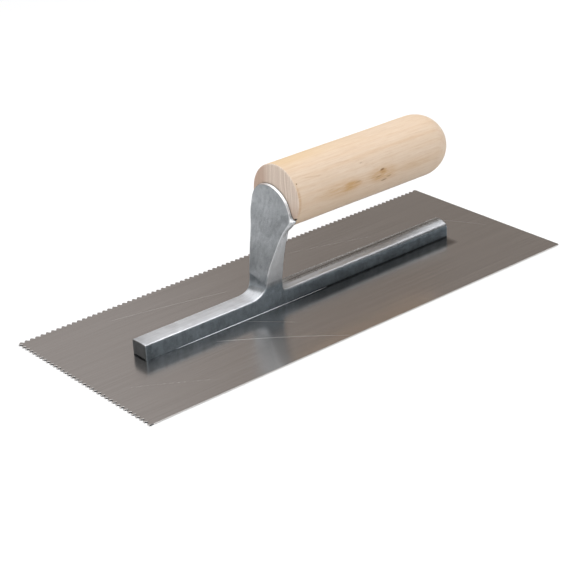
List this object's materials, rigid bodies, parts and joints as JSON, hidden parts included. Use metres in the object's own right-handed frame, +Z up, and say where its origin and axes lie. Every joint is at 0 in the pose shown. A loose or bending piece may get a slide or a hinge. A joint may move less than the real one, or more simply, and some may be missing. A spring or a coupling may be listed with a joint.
{
  "type": "notched trowel",
  "caption": "Flat steel trowel blade with fine V notches on one long edge and one short edge, a cast aluminium bar and post riveted along it, and a round wooden handle.",
  "frame": {"origin": "middle of the blade's underside, the surface that meets the work", "axes": "+X along the blade from the notched short edge to the plain one, the way the handle's domed end points; +Y from the plain long edge to the notched long edge; +Z up, from the blade to the handle"},
  "size_m": [0.2794, 0.1142, 0.0766],
  "materials": {
    "blade_steel": "ground along its length, satin",
    "cast_aluminium": "tumbled casting, satin",
    "handle_wood": "turned and sanded, bare",
    "bolt_steel": "zinc plated",
    "rivet_steel": "ground flush"
  },
  "bodies": {
    "root": {"blade": "blade_steel", "mounting": "cast_aluminium", "handle": "handle_wood", "handle_bolt": "bolt_steel", "handle_washer": "bolt_steel", "rivet_1": "rivet_steel", "rivet_2": "rivet_steel", "rivet_3": "rivet_steel", "rivet_4": "rivet_steel", "rivet_5": "rivet_steel", "rivet_6": "rivet_steel", "rivet_7": "rivet_steel"}
  },
  "joints": []
}
